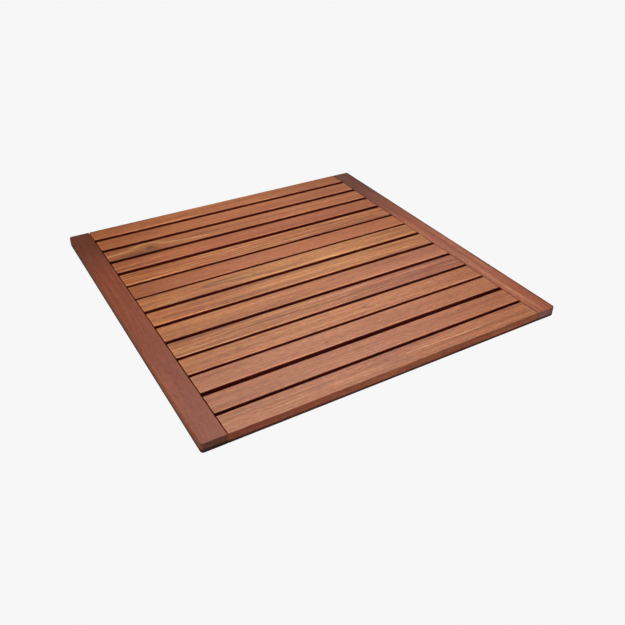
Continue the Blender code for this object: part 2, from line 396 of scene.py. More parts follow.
def scattered(tree, points, shape, seed):
    # one copy of the shape on every point, each turned by a random angle about Z
    feeds = {2: 0.0, 3: fullTurn, "Seed": seed}
    angle = addNode(tree, "FunctionNodeRandomValue", {"data_type": "FLOAT"}, feeds, 1)
    turn = addNode(tree, "FunctionNodeEulerToRotation", None, {0: vector(tree, 0.0, 0.0, angle)})
    feeds = {"Points": points, "Instance": shape, "Rotation": turn}
    return addNode(tree, "GeometryNodeInstanceOnPoints", None, feeds)


def linear(red, green, blue):
    # a colour as a screen shows it, from 0 to 255, in the renderer's own numbers
    return tuple(((value / 255 + 0.055) / 1.055) ** 2.4 for value in (red, green, blue))


def middleOf(low, high):
    return tuple((a + b) / 2 for a, b in zip(low, high))


def newMaterial(name):
    material = bpy.data.materials.new(name)
    material.use_nodes = True
    return material, material.node_tree, material.node_tree.nodes["Principled BSDF"]


def joinShader(shader, colour, roughness, height, bump):
    # what changes over a surface; bump is its strength, and its depth in mm
    feeds = {"Strength": bump[0], "Distance": bump[1] * mm, "Height": height}
    normal = addNode(colour.tree, "ShaderNodeBump", None, feeds)
    for slot, wire in (("Base Color", colour), ("Roughness", roughness), ("Normal", normal)):
        colour.tree.links.new(wire.socket, shader.inputs[slot])


woodLook = {
    "shades": [  # from the darkest wood to the palest
        (0.0, linear(98, 42, 20)), (0.3, linear(148, 78, 38)), (0.55, linear(180, 106, 54)),
        (0.8, linear(202, 131, 72)), (1.0, linear(222, 160, 98)),
    ],
    # each kind of streak: length, width and depth in mm, detail, roughness, and a shift of its own
    "grain": {
        "bend": (190, 30, 60, 2.0, 0.5, 60),
        "wiggle": (38, 9, 20, 2.0, 0.5, 40),
        "broad": (260, 9, 30, 3.0, 0.5, 0),
        "fine": (110, 2.4, 2.4, 3.0, 0.6, 11),
        "hair": (14, 0.9, 0.9, 2.0, 0.65, 23),
        "hue": (11, 2.8, 2.8, 3.0, 0.6, 97),
        "crisp": (170, 2.3, 5, 2.0, 0.55, 71),
        "mottle": (9, 5, 5, 2.0, 0.6, 83),
        "crowd": (60, 7, 7, 2.0, 0.5, 3),
        "pore": (7, 0.5, 0.5, 0.0, 0.5, 31),
    },
    "bendSize": 9,  # mm that the grain wanders to each side
    "wiggleSize": 1.5,
    "ringBend": 14,
    "goldTint": (1.08, 1.28, 1.25),
    "roseTint": (0.98, 0.93, 1.6),
    "darkTint": (0.42, 0.32, 0.34),
    "poreTint": (0.5, 0.42, 0.45),
    "redTint": (1.09, 0.76, 0.80),
    "oliveTint": (0.92, 1.13, 0.80),
    "endTint": (0.66, 0.84, 1.3),
    "gapShadeTint": (0.42, 0.08, 0.04),  # painted shade on the sides between the boards
    "stainTint": (0.80, 0.63, 0.69),
    "lowShadeTint": (0.20, 0.13, 0.12),
    "edgeHighlightTint": (1.5, 1.56, 1.8),
    # mm from an edge at which each mark on the top, the painted edge highlights and the painted rim
    # shade, begins, and at which it is full
    "edgeHighlightSide": (3.8, 1.8),
    "edgeHighlightEnd": (2.8, 1.2),
    "rimShadeSide": (4.5, 1.5),
    "rimShadeEnd": (5.0, 1.5),
    "lowShadeBlur": 2.4,  # mm over which the painted shade at the foot of the sides fades in
    "sunkDepth": 1.5,  # mm below the top, where a face that looks up is in a gap and gets the painted gap shade
    "travelLength": 540.0,  # mm along which a board's lightness changes
    "roughness": 0.46,
    "bump": (0.7, 0.08),
}

plainBoard = {
    "seed": 1.0,
    "tone": 1.0,  # lightness of the whole board
    "tint": (1.0, 1.0, 1.0),
    "faceTint": (0.90, 0.80, 0.90),  # on the mat's outer sides
    "lowShade": 3.4,  # height in mm of the painted shade along the foot of the sides
    "endTone": 1.0,  # lightness of the cut ends
    "stain": 0.0,  # redder stain on the outer side towards the left end
    "worn": 0.0,  # painted highlight along the top's front and left edges, where the arrises catch the light
    "rim": 0.0,  # painted shade on the top along the mat's outside
    "rimShadeEnd": 0.0,  # painted shade on the top along the far end
    "rings": (5.0, 0.0),  # spacing in mm and strength of parallel growth rings
    "gold": 0.1,  # share of golden wood
    "rose": 0.0,  # share of pinkish wood
    "roseFinish": 0.0,  # more pinkish wood towards the far end
    "red": 0.0,  # share of redder wood
    "redFinish": 0.0,  # more of it towards the far end
    "outerSide": 0,  # 1 or -1 where the side at larger or smaller c is on the mat's outside
    "streaks": 0.5,  # strength of the soft broad streaks along the grain
    "lines": 0.3,  # strength of the fine crisp lines
    "start": 0.9,  # lightness at the left or front end, partly painted shade
    "finish": 0.9,  # lightness at the far end, partly painted shade
    "finishFrom": 0.67,  # where along the board that starts to tell
    # (along, across, half length, half width, slope, strength), mm: golden above 0, dark below
    "patches": [],
    # where the growth rings run out: (tip along, across, spread, line width, reach, strength)
    "arches": [],
    "knots": [],  # (along, across, size), mm
}


def streak(spot, kind, seed):
    # noise to either side of 0, drawn out along the grain
    long, wide, deep, detail, rough, shift = woodLook["grain"][kind]
    a, c, u = spot
    place = vector(a.tree, a / long + seed * 7.3 + shift, c / wide + seed * 3.1, u / deep)
    feeds = {"Vector": place, "Scale": 1.0, "Detail": detail, "Roughness": rough}
    return addNode(a.tree, "ShaderNodeTexNoise", None, feeds) - 0.5


def tinted(colour, tint, share=None):
    # the colour times a tint, over this share of it
    feeds = {0: colour, 1: tint}
    shaded = addNode(colour.tree, "ShaderNodeVectorMath", {"operation": "MULTIPLY"}, feeds)
    if share is None:
        return shaded
    feeds = {0: share, 6: colour, 7: shaded}
    return addNode(colour.tree, "ShaderNodeMix", {"data_type": "RGBA"}, feeds, 2)


def nearEdge(distance, half, band):
    # 1 at the edge, which is half a board from the middle, and 0 further in
    return ramp(distance, half - band[0], half - band[1])


def woodPattern(board, spot):
    # how one board is figured: wires by name, from spot's mm along, across and up from its middle
    look, seed = woodLook, board["seed"]
    a, straight, u = spot

    # the grain wanders, and bows out round a knot
    c = straight + streak(spot, "bend", seed) * look["bendSize"]
    c = c + streak(spot, "wiggle", seed) * look["wiggleSize"]
    flare = 0.0
    heart = 0.0
    for along, across, width in board["knots"]:
        gone = (a - along) / width
        off = (straight - across) / width
        c = c - (straight - across) * bell(gone / 3.4, off / 2.2) * 0.9
        flare = bell(gone / 8.0, off / 1.8) + flare
        heart = bell(gone, off / 0.6) + heart

    spot = (a, c, u)
    broad, fine, hair, hue, crisp, mottle = (
        streak(spot, kind, seed) for kind in ("broad", "fine", "hair", "hue", "crisp", "mottle"))
    darkLine = ramp(crisp, 0.07, 0.2)
    paleLine = ramp(-crisp, 0.07, 0.22)
    crowd = ramp(streak(spot, "crowd", seed), -0.16, 0.2)
    pores = ramp(streak(spot, "pore", seed), 0.13, 0.24) * crowd

    # depth picks the shade, from the darkest at 0 to the palest at 1
    depth = broad * (1.5 * board["streaks"] + 0.1) + fine * (0.8 * board["streaks"] + 0.35)
    depth = depth + hair * 0.85 + mottle * 0.3
    depth = depth + (paleLine * 0.42 - darkLine * 0.36) * board["lines"] + 0.56
    golden = ramp(broad * 1.4 + fine * 0.6, 0.0, 0.3) * (board["gold"] * 0.8)
    golden = golden + board["gold"] * 0.45
    ringSpacing, ringStrength = board["rings"]
    if ringStrength:
        ring = sine((c + broad * look["ringBend"]) * (fullTurn / ringSpacing))
        ring = ring * (crowd * 0.8 + 0.2) * ringStrength
        depth = depth + ring
        golden = golden + most(ring, 0.0) * 1.5
    darkened = darkLine * (board["lines"] * 0.35)
    texture = ramp(fine + broad * 0.5 + hair * 0.3, -0.22, 0.18)
    for along, across, halfLong, halfWide, slope, strength in board["patches"]:
        ahead = a - along
        patch = bell(ahead / halfLong, (c - across - ahead * slope) / halfWide)
        patch = patch * (texture * 0.7 + 0.3) * abs(strength)
        if strength > 0:
            golden = golden + patch
            depth = depth + patch * 0.3
        else:
            darkened = darkened + patch
    for along, across, spread, lineWidth, reach, strength in board["arches"]:
        ahead = a - along
        inside = ahead * math.copysign(1.0, reach) - (c - across) ** 2.0 / spread
        line = bell(inside / lineWidth) * bell(ahead / reach) * (texture * 0.6 + 0.4)
        glow = ramp(inside, 0.0, 14.0) * bell(ahead / (2.2 * reach))
        darkened = darkened + line * strength
        golden = golden + glow * (0.35 * strength)

    travel = held(a / look["travelLength"] + 0.5, 0.0, 1.0)
    rosy = ramp(travel + broad * 0.6, 0.35, 0.8) * board["roseFinish"]
    rosy = rosy + (broad * 0.5 + mottle * 0.5) * 0.3
    redder = ramp(travel, 0.35, 0.9) * board["redFinish"] + board["red"]
    return {
        "depth": held(depth, 0.0, 1.0),
        "gold": held(flare * 0.9 * texture + golden, 0.0, 1.0),
        "rose": held(rosy + board["rose"], 0.0, 1.0),
        "red": held(hue * 4.2 + broad * 0.6 + redder, 0.0, 1.0),
        "olive": held(hue * -4.2 - broad * 0.4 - 0.05, 0.0, 1.0),
        "dark": held(heart * 0.95 + darkened, 0.0, 1.0),
        "pores": pores, "texture": texture, "hair": hair, "fine": fine, "travel": travel,
    }


def woodMaterial(name, low, high, alongY, changes):
    board = {**plainBoard, **changes}
    look = woodLook
    material, tree, shader = newMaterial(name)

    # millimetres from the board's middle: a along the grain, c across it, u up
    spot = parts(addNode(tree, "ShaderNodeTexCoord", None, None, 3))
    x, y, u = ((wire - middle) * perMetre for wire, middle in zip(spot, middleOf(low, high)))
    a, c = (y, -x) if alongY else (x, y)
    halfX, halfY, halfHigh = ((far - near) / 2 * perMetre for near, far in zip(low, high))
    halfLong, halfWide = (halfY, halfX) if alongY else (halfX, halfY)

    wood = woodPattern(board, (a, c, u))
    colour = addNode(tree, "ShaderNodeValToRGB", {"stops": look["shades"]}, {0: wood["depth"]})
    for kind in ("gold", "rose", "red", "olive", "dark"):
        colour = tinted(colour, look[kind + "Tint"], wood[kind])
    colour = tinted(colour, look["poreTint"], wood["pores"] * 0.75)

    # painted highlights along the top's front and left edges, where the arrises catch the light,
    # and painted shade along the mat's far rim
    facing = parts(addNode(tree, "ShaderNodeNewGeometry", None, None, 1))[2]
    upright = magnitude(facing)
    outward = c * float(board["outerSide"])
    # painted highlight along the front and left edges of the top
    worn = nearEdge(-a, halfLong, look["edgeHighlightEnd"]) * 0.7
    worn = most(nearEdge(-c, halfWide, look["edgeHighlightSide"]), worn) * ramp(upright, 0.5, 0.9)
    colour = tinted(colour, look["edgeHighlightTint"], worn * (wood["texture"] * 0.6 + 0.4) * board["worn"])
    # painted shade along the mat's outer rim and far end, in the same dark tint as the knots
    rim = nearEdge(outward, halfWide, look["rimShadeSide"]) * board["rim"]
    rim = most(rim, nearEdge(a, halfLong, look["rimShadeEnd"]) * board["rimShadeEnd"])
    colour = tinted(colour, look["darkTint"], rim)

    # the sides differ from the top: the cut ends and outer faces have tints of their own and the
    # outer side a stain, while painted shade darkens the sides in the gaps and along the lower
    # edges
    ends = addNode(tree, "ShaderNodeAttribute", {"attribute_name": "endGrain"}, None, 2)
    colour = tinted(colour, look["endTint"], ends * 0.9)
    sunk = (facing > 0.5) * (u < halfHigh - look["sunkDepth"])
    side = most(1 - ramp(upright, 0.05, 0.7), sunk)
    outer = held((outward > 0.0) + ends, 0.0, 1.0)
    # painted shade on the sides in the gaps between the boards
    colour = tinted(colour, look["gapShadeTint"], side * (1 - outer))
    colour = tinted(colour, board["faceTint"], side * outer)
    stain = side * (1 - ramp(wood["travel"], 0.02, 0.5)) * board["stain"]
    colour = tinted(colour, look["stainTint"], stain)
    # painted shade along the foot of the sides, standing in for the shadow under the mat
    lowBand = (board["lowShade"] + look["lowShadeBlur"], board["lowShade"])
    lowShade = nearEdge(-u, halfHigh, lowBand) * (1 - ramp(upright, 0.8, 0.98))
    colour = tinted(colour, look["lowShadeTint"], lowShade)

    # lightness from one end to the other: partly the wood's own tone, partly painted shade where
    # the light falls off towards the ends
    drift = between(board["start"], 1.0, ramp(wood["travel"], 0.0, 0.33))
    far = ramp(wood["travel"], board["finishFrom"], 1.0)
    drift = drift * between(1.0, board["finish"], far)
    feeds = {0: tinted(colour, board["tint"])}
    feeds["Scale"] = drift * between(1.0, board["endTone"], ends) * board["tone"]
    colour = addNode(tree, "ShaderNodeVectorMath", {"operation": "SCALE"}, feeds)

    hair, fine, pores = wood["hair"], wood["fine"], wood["pores"]
    roughness = hair * 0.16 + fine * 0.1 + pores * 0.2 + side * 0.45 + look["roughness"]
    joinShader(shader, colour, roughness, hair * 0.5 - pores + fine * 0.5, look["bump"])
    return material


slats = {
    "longArris": 0.5 * mm,
    "frontArris": 0.9 * mm,  # the outer edges of the first and last slats
    "backArris": 0.5 * mm,
    "lowerShare": 0.6,
    "endArris": 0.35 * mm,
    "cornerRound": 0.3 * mm,
    "wear": 0.12 * mm,
    "wearSeed": 3.0,  # times the slat's number
    "leftGap": 1.6 * mm,  # between a slat's shoulder and the rail
    "rightGap": 1.0 * mm,
    "tenonSlack": 0.05 * mm,  # between the start of the tenon and the rail
    "tenonShoulder": 5.0 * mm,
    "grooveDepth": 4.0 * mm,  # of the joint line below the top
    "outerShoulder": 0.4 * mm,  # the same two on the first and last slats
    "outerGroove": 2.5 * mm,
    # strength of the painted highlight along the top's front and left edges
    "worn": 0.75,
}

# Each slat's own wood, from the front. shift moves it and slim narrows it a little, in mm, because
# the slats were set by hand.
slatWood = {
    1: {"seed": 1, "tone": 1.1, "tint": (0.99, 1.02, 1.07), "shift": 0.05, "gold": 0.2,
        "rose": 0.6, "streaks": 0.35, "lines": 0.5, "finish": 0.85, "stain": 1.0, "worn": 0.3,
        "patches": [(-125.0, 0.0, 14.0, 8.0, 0.0, -0.4), (0.0, -5.0, 22.0, 7.0, 0.0, -0.45),
                    (130.0, 0.0, 130.0, 0.8, -0.02, 1.3), (-170.0, 8.0, 60.0, 0.8, -0.02, 1.0)]},
    2: {"seed": 2, "tone": 1.04, "tint": (1.0, 1.01, 1.04), "shift": -0.4, "slim": 1.1,
        "rose": 0.55, "streaks": 0.2, "lines": 0.2, "worn": 0.4},
    3: {"seed": 3, "tone": 1.09, "tint": (0.99, 1.03, 1.07), "shift": 0.95, "slim": 1.25,
        "rose": 0.55, "streaks": 0.2, "lines": 0.2, "worn": 0.6,
        "patches": [(-62.0, -6.0, 3.0, 6.0, 0.0, -0.9)]},
    4: {"seed": 4, "tone": 1.12, "shift": -0.6, "slim": 1.05, "gold": 0.35, "rose": 0.2,
        "roseFinish": 0.25, "streaks": 0.3, "finish": 0.87,
        "arches": [(38.0, 1.0, 2.4, 1.8, 32.0, 1.6), (88.0, -2.0, 2.6, 2.5, 70.0, 0.7),
                   (-183.0, 0.0, 3.0, 2.2, 100.0, 0.8)]},
    5: {"seed": 5, "tone": 0.99, "shift": -1.25, "slim": 0.5, "gold": 0.2, "roseFinish": 0.8,
        "redFinish": 0.45, "streaks": 0.6, "lines": 0.8, "start": 0.95, "finish": 0.76,
        "finishFrom": 0.5, "rings": (4.6, 0.12)},
    6: {"seed": 6, "tone": 1.04, "shift": -0.3, "slim": 0.4, "gold": 0.2, "roseFinish": 0.65,
        "streaks": 0.35, "lines": 0.2, "start": 0.94},
    7: {"seed": 7, "tone": 1.01, "shift": 0.2, "slim": 1.4, "gold": 0.35, "streaks": 0.6,
        "lines": 0.6, "start": 1.24, "rings": (5.0, 0.06),
        "patches": [(-190.0, 9.0, 60.0, 1.8, 0.0, -0.8), (110.0, 13.0, 90.0, 1.8, 0.0, -0.7)]},
    8: {"seed": 8, "tone": 1.0, "shift": 0.92, "slim": 1.25, "gold": 0.4, "streaks": 0.4,
        "lines": 0.4, "red": 0.1, "start": 0.93,
        "arches": [(-158.0, 1.0, 0.9, 3.0, 110.0, 2.2), (-70.0, -5.0, 0.5, 2.4, 60.0, 1.6)],
        "patches": [(200.0, 10.0, 70.0, 1.6, 0.0, -0.9), (0.0, -15.0, 260.0, 1.5, 0.0, 0.8),
                    (-115.0, 6.0, 45.0, 2.4, 0.07, -1.1), (-110.0, -3.0, 50.0, 2.4, -0.06, -1.1),
                    (-15.0, -7.0, 50.0, 2.0, 0.0, -1.0)]},
    9: {"seed": 9, "tone": 0.91, "tint": (1.0, 0.98, 0.94), "shift": -1.18, "slim": 1.05,
        "streaks": 0.15, "lines": 0.15, "red": 0.55, "start": 0.83},
    10: {"seed": 10, "tone": 0.9, "tint": (1.0, 0.95, 0.88), "shift": -1.9, "slim": 1.4,
         "gold": 0.25, "streaks": 0.35, "lines": 0.9, "red": 0.35, "start": 0.98, "worn": 1.2,
         "rings": (7.6, 0.3),
         "patches": [(20.0, -15.0, 75.0, 1.4, 0.0, 1.8), (190.0, 14.0, 90.0, 2.0, 0.0, 1.0)]},
    11: {"seed": 11, "tone": 0.84, "tint": (1.0, 0.94, 0.92), "shift": -0.4, "slim": 3.2,
         "streaks": 0.4, "lines": 0.7, "red": 0.7, "start": 0.8, "finish": 0.8,
         "finishFrom": 0.5, "worn": 1.0,
         "patches": [(-190.0, 2.0, 100.0, 1.4, 0.07, 1.2), (-180.0, -9.0, 90.0, 1.5, 0.05, 0.6)]},
    12: {"seed": 12, "tone": 0.85, "shift": -0.5, "slim": 2.6, "gold": 0.05, "streaks": 0.35,
         "lines": 0.5, "red": 0.45, "finishFrom": 0.5, "worn": 0.9, "knots": [(-188.0, -4.0, 9.0)],
         "patches": [(-235.0, 1.0, 45.0, 2.4, 0.08, 2.0), (-130.0, -3.0, 75.0, 2.4, -0.12, 2.0),
                     (110.0, 13.0, 150.0, 2.2, 0.0, 0.9), (-192.0, -11.0, 32.0, 6.0, 0.0, -1.2),
                     (-235.0, -13.0, 40.0, 4.0, 0.0, -0.9), (-215.0, 13.0, 50.0, 4.0, 0.0, -0.6)]},
    13: {"seed": 13, "tone": 0.89, "shift": 0.0, "slim": 3.0, "streaks": 0.25, "lines": 0.3,
         "roseFinish": 0.3, "red": 0.4, "finish": 0.8, "worn": 1.0},
    14: {"seed": 14, "tone": 0.88, "shift": 0.3, "slim": 2.4, "rim": 0.7, "streaks": 0.4,
         "lines": 0.6, "red": 0.45, "finish": 0.78, "finishFrom": 0.5, "worn": 1.0,
         "patches": [(-130.0, -12.0, 90.0, 2.2, 0.0, 1.0)]},
}


def makeSlat(number, railEdge):
    node = f"slat_{number:02d}"
    low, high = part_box(node)
    s = slats
    own = {"worn": s["worn"], **slatWood[number]}
    shift = own.pop("shift", 0.0) * mm
    slim = own.pop("slim", 0.0) * mm
    isFirst = number == 1
    isLast = number == len(slatWood)
    isOuter = isFirst or isLast
    front = low[1] + (0.0 if isFirst else shift + slim / 2)
    back = high[1] + (0.0 if isLast else shift - slim / 2)
    left = s["leftGap"] - railEdge
    right = railEdge - s["rightGap"]
    low, high = (left, front, low[2]), (right, back, high[2])
    own["outerSide"] = isLast - isFirst
    piece = madeFrom(boardTree, f"slatBoard{number:02d}", {
        "Length": right - left, "Width": back - front, "Thickness": high[2] - low[2],
        "Front arris": s["frontArris"] if isFirst else s["longArris"],
        "Back arris": s["backArris"] if isLast else s["longArris"],
        "Left arris": s["endArris"], "Right arris": s["endArris"], "Lower share": s["lowerShare"],
        "Front corners": s["cornerRound"], "Back corners": s["cornerRound"],
        "Wear": s["wear"], "Seed": number * s["wearSeed"], "Middle": middleOf(low, high),
        "Material": woodMaterial(f"slatWood{number:02d}", low, high, False, own),
        "Tenon": s["leftGap"] - s["tenonSlack"],
        "Tenon shoulder": s["outerShoulder"] if isOuter else s["tenonShoulder"],
        "Groove depth": s["outerGroove"] if isOuter else s["grooveDepth"],
    })
    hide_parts(node)
    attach(piece, "root")


for number in slatWood:
    makeSlat(number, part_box("rail_right")[0][0])
print("slats ready")


rails = {
    "rimArris": 0.8 * mm,
    "lowerShare": 0.6,
    "innerArris": 0.4 * mm,
    "outerCorner": 4.5 * mm,
    "innerCorner": 0.3 * mm,
    "wear": 0.12 * mm,
    "wearSeed": {"left": 60.0, "right": 70.0},
}

railWood = {
    "left": {"seed": 21, "tone": 0.57, "tint": (0.96, 0.82, 0.8), "faceTint": (0.85, 1.06, 1.3),
             "lowShade": 5.0, "streaks": 0.2, "lines": 0.1, "rose": 0.1, "red": 1.1, "gold": 0.0,
             "start": 1.08, "finish": 0.5, "rimShadeEnd": 0.8, "outerSide": 1},
    "right": {"seed": 22, "tone": 0.79, "tint": (0.98, 0.85, 0.88), "faceTint": (0.85, 1.0, 1.2),
              "streaks": 0.5, "lines": 0.6, "rose": 0.8, "roseFinish": -0.9, "gold": 0.25,
              "red": 0.2, "redFinish": 1.0, "start": 1.08, "finish": 0.31, "finishFrom": 0.45,
              "endTone": 1.25, "rim": 0.7, "rimShadeEnd": 0.8, "outerSide": -1,
              "patches": [(-190.0, 7.0, 120.0, 6.0, 0.0, 1.2)]},
}


def makeRail(side):
    node = "rail_" + side
    low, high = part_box(node)
    isLeft = side == "left"
    outer, inner = rails["rimArris"], rails["innerArris"]
    outerCorner, innerCorner = rails["outerCorner"], rails["innerCorner"]
    piece = madeFrom(boardTree, side + "RailBoard", {
        "Length": high[1] - low[1], "Width": high[0] - low[0], "Thickness": high[2] - low[2],
        "Front arris": inner if isLeft else outer, "Back arris": outer if isLeft else inner,
        "Left arris": outer, "Right arris": outer, "Lower share": rails["lowerShare"],
        "Front corners": innerCorner if isLeft else outerCorner,
        "Back corners": outerCorner if isLeft else innerCorner,
        "Wear": rails["wear"], "Seed": rails["wearSeed"][side],
        "Middle": middleOf(low, high), "Turn": (0.0, 0.0, quarterTurn),
        "Material": woodMaterial(side + "RailWood", low, high, True, railWood[side]),
    })
    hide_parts(node)
    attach(piece, "root")


for side in railWood:
    makeRail(side)
print("rails ready")


bearers = {
    "arris": 1.0 * mm,
    "cornerRound": 1.5 * mm,
    "wear": 0.1 * mm,
    "wearSeed": 80.0,
    "holeSides": 24,
    # (radius, height) in mm from the underside: a countersink, and the clearance hole above it
    "hole": [(0.0, -1.0), (4.1, -1.0), (4.1, 0.15), (2.1, 2.7), (2.1, 9.4), (0.0, 9.4)],
    "socket": [(0.0, -1.0), (3.15, -1.0), (3.15, 6.0), (0.0, 6.0)],
    "crispAngle": 35.0,
}

bearerWood = {
    "left": {"seed": 31, "tone": 0.9, "rose": 0.2, "streaks": 0.4},
    "centre": {"seed": 32, "tone": 0.95, "gold": 0.2, "streaks": 0.5},
    "right": {"seed": 33, "tone": 0.88, "rose": 0.3, "streaks": 0.4},
}


def screwNodes(side):
    return [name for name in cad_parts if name.startswith("screw_" + side)]


def footNodes(side):
    return [f"foot_{side}_{place}" for place in ("front", "middle", "back")]


def lowPoints(nodes, level=None):
    # the middle of each node in plan, at its own lowest level or at the one given
    points = []
    for node in nodes:
        low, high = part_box(node)
        x, y, z = middleOf(low, high)
        points.append((x, y, low[2] if level is None else level))
    return points


def makeBearerTree():
    # a board with a countersunk hole at each screw and a blind socket at each foot
    tree, given = newTree("bearer", {
        "Length": 0.5, "Width": 0.04, "Thickness": 0.01, "Screws": 14.0, "Seed": 0.0,
        "Middle": (0.0, 0.0, 0.0), "Material": None,
    }, takesMesh=True)
    b = bearers
    feeds = {name: given[name] for name in ("Length", "Width", "Thickness", "Seed", "Middle")}
    feeds.update({name + " arris": b["arris"] for name in ("Front", "Back", "Left", "Right")})
    feeds.update({name + " corners": b["cornerRound"] for name in ("Front", "Back")})
    feeds.update({"Wear": b["wear"], "Turn": (0.0, 0.0, quarterTurn)})
    board = addNode(tree, "GeometryNodeGroup", {"node_tree": boardTree}, feeds)
    isScrew = addNode(tree, "GeometryNodeInputIndex") < given["Screws"] - 0.5
    cutters = []
    for profile, chosen in ((b["hole"], isScrew), (b["socket"], 1 - isScrew)):
        shape = turnedShape(tree, profile, b["holeSides"])
        feeds = {"Points": given["Points"], "Selection": chosen, "Instance": shape}
        shape = addNode(tree, "GeometryNodeInstanceOnPoints", None, feeds)
        cutters.append(addNode(tree, "GeometryNodeRealizeInstances", None, {0: shape}))
    mesh = combined(tree, "DIFFERENCE", board, *cutters)
    endTree(tree, softEdges(tree, mesh, b["crispAngle"]), given["Material"])
    return tree


bearerTree = makeBearerTree()


def makeBearer(side):
    node = "bearer_" + side
    low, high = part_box(node)
    middle = middleOf(low, high)
    holes = screwNodes(side)
    piece = madeFrom(bearerTree, side + "Bearer", {
        "Length": high[1] - low[1], "Width": high[0] - low[0], "Thickness": high[2] - low[2],
        "Screws": float(len(holes)), "Seed": bearers["wearSeed"] + middle[0] * 20,
        "Middle": middle,
        "Material": woodMaterial(side + "BearerWood", low, high, True, bearerWood[side]),
    }, lowPoints(holes + footNodes(side), low[2]))
    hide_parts(node)
    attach(piece, "root")


sides = ("left", "centre", "right")
for side in sides:
    makeBearer(side)
print("bearers ready")


def mottledMaterial(name, look):
    # two tones in soft clouds, under a fine grain that also roughens the surface
    material, tree, shader = newMaterial(name)
    place = addNode(tree, "ShaderNodeTexCoord", None, None, 3)
    feeds = {"Vector": place, "Scale": look["grainScale"], "Detail": 3.0}
    grain = addNode(tree, "ShaderNodeTexNoise", None, feeds)
    feeds = {"Vector": place, "Scale": look["cloudScale"], "Detail": look["cloudDetail"]}
    cloud = addNode(tree, "ShaderNodeTexNoise", None, feeds)
    feeds = {0: ramp(cloud, *look["cloudBand"]), 6: look["dark"], 7: look["pale"]}
    colour = addNode(tree, "ShaderNodeMix", {"data_type": "RGBA"}, feeds, 2)
    roughness = grain * look["grainRoughness"] + cloud * look["cloudRoughness"]
    joinShader(shader, colour, roughness + look["roughness"], grain, look["bump"])
    shader.inputs["Metallic"].default_value = look["metallic"]
    return material


screws = {
    "sides": 28,
    "headRadius": 3.5,  # mm
    "coreRadius": 1.25,
    "threadRadius": 1.8,
    "threadPitch": 1.3,
    "headHeight": 2.4,
    "plainEnd": 5.0,  # height at which the plain shank ends
    "threadStart": 5.5,
    "pointLength": 4.0,
    "length": 19.0,
    "crossLength": 3.9,
    "crossWidth": 0.85,
    "crossDepth": 1.5,
    "crossTaper": 0.55,  # the recess's floor as a share of its mouth
    "crispAngle": 30.0,
    "seed": 5,
}

steelLook = {
    "dark": (0.52, 0.50, 0.47, 1.0),
    "pale": (0.66, 0.64, 0.60, 1.0),
    "grainScale": 2600.0,
    "cloudScale": 320.0,
    "cloudDetail": 2.0,
    "cloudBand": (0.3, 0.7),
    "grainRoughness": 0.18,
    "cloudRoughness": 0.12,
    "roughness": 0.18,
    "bump": (0.3, 0.02),
    "metallic": 1.0,
}


def screwProfile():
    # (radius, height) in mm from the face of the head up to the point
    s = screws
    head, thread, core = s["headRadius"], s["threadRadius"], s["coreRadius"]
    profile = [(0.0, 0.0), (head - 0.5, 0.0), (head - 0.12, 0.06), (head, 0.25)]
    profile += [(head - 0.05, 0.5), (thread, s["headHeight"]), (thread, s["plainEnd"])]
    height = s["threadStart"]
    while height < s["length"] - s["pointLength"]:
        profile += [(core, height), (thread, height + s["threadPitch"] / 2)]
        height += s["threadPitch"]
    return profile + [(core, height), (core * 0.8, s["length"] - 2.5), (0.0, s["length"])]


def makeScrewTree():
    tree, given = newTree("screws", {"Material": None}, takesMesh=True)
    s = screws
    bars = []
    for across, along in (("crossWidth", "crossLength"), ("crossLength", "crossWidth")):
        barSize = (s[across] * mm, s[along] * mm, 2 * s["crossDepth"] * mm)
        bar = addNode(tree, "GeometryNodeMeshCube", None, {"Size": barSize})
        # the recess narrows towards its floor
        x, y, z = parts(addNode(tree, "GeometryNodeInputPosition"))
        share = between(s["crossTaper"], 1.0, z < 0.0)
        feeds = {"Geometry": bar, "Position": vector(tree, x * share, y * share, z)}
        bars.append(addNode(tree, "GeometryNodeSetPosition", None, feeds))
    shape = turnedShape(tree, screwProfile(), s["sides"])
    shape = softEdges(tree, combined(tree, "DIFFERENCE", shape, *bars), s["crispAngle"])
    endTree(tree, scattered(tree, given["Points"], shape, s["seed"]), given["Material"])
    return tree


screwTree = makeScrewTree()
steel = mottledMaterial("screwSteel", steelLook)
for side in sides:
    nodes = screwNodes(side)
    piece = madeFrom(screwTree, side + "Screws", {"Material": steel}, lowPoints(nodes))
    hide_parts(*nodes)
    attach(piece, "root")
print("screws ready")


feet = {
    "sides": 48,
    # (radius, height) in mm from the floor: a grooved sole, a rolled edge, the flat top, the stem
    "profile": [
        (0.0, 0.35), (2.3, 0.35), (2.6, 0.05), (3.0, 0.0), (4.5, 0.0), (4.8, 0.12), (5.0, 0.55),
        (5.6, 0.55), (5.8, 0.12), (6.1, 0.0), (7.2, 0.0), (7.5, 0.12), (7.7, 0.55), (8.2, 0.55),
        (8.4, 0.12), (8.7, 0.0), (9.1, 0.03), (9.6, 0.25), (9.9, 0.65), (10.0, 1.1), (9.96, 1.8),
        (9.8, 2.4), (9.45, 2.85), (9.0, 3.0), (3.0, 3.0), (3.0, 7.9), (2.6, 8.4), (0.0, 8.5),
    ],
    "crispAngle": 40.0,
    "seed": 9,
}

rubberLook = {
    "dark": (0.018, 0.017, 0.016, 1.0),
    "pale": (0.045, 0.043, 0.041, 1.0),
    "grainScale": 1900.0,
    "cloudScale": 170.0,
    "cloudDetail": 3.0,
    "cloudBand": (0.35, 0.75),
    "grainRoughness": 0.1,
    "cloudRoughness": 0.2,
    "roughness": 0.55,
    "bump": (0.5, 0.04),
    "metallic": 0.0,
}


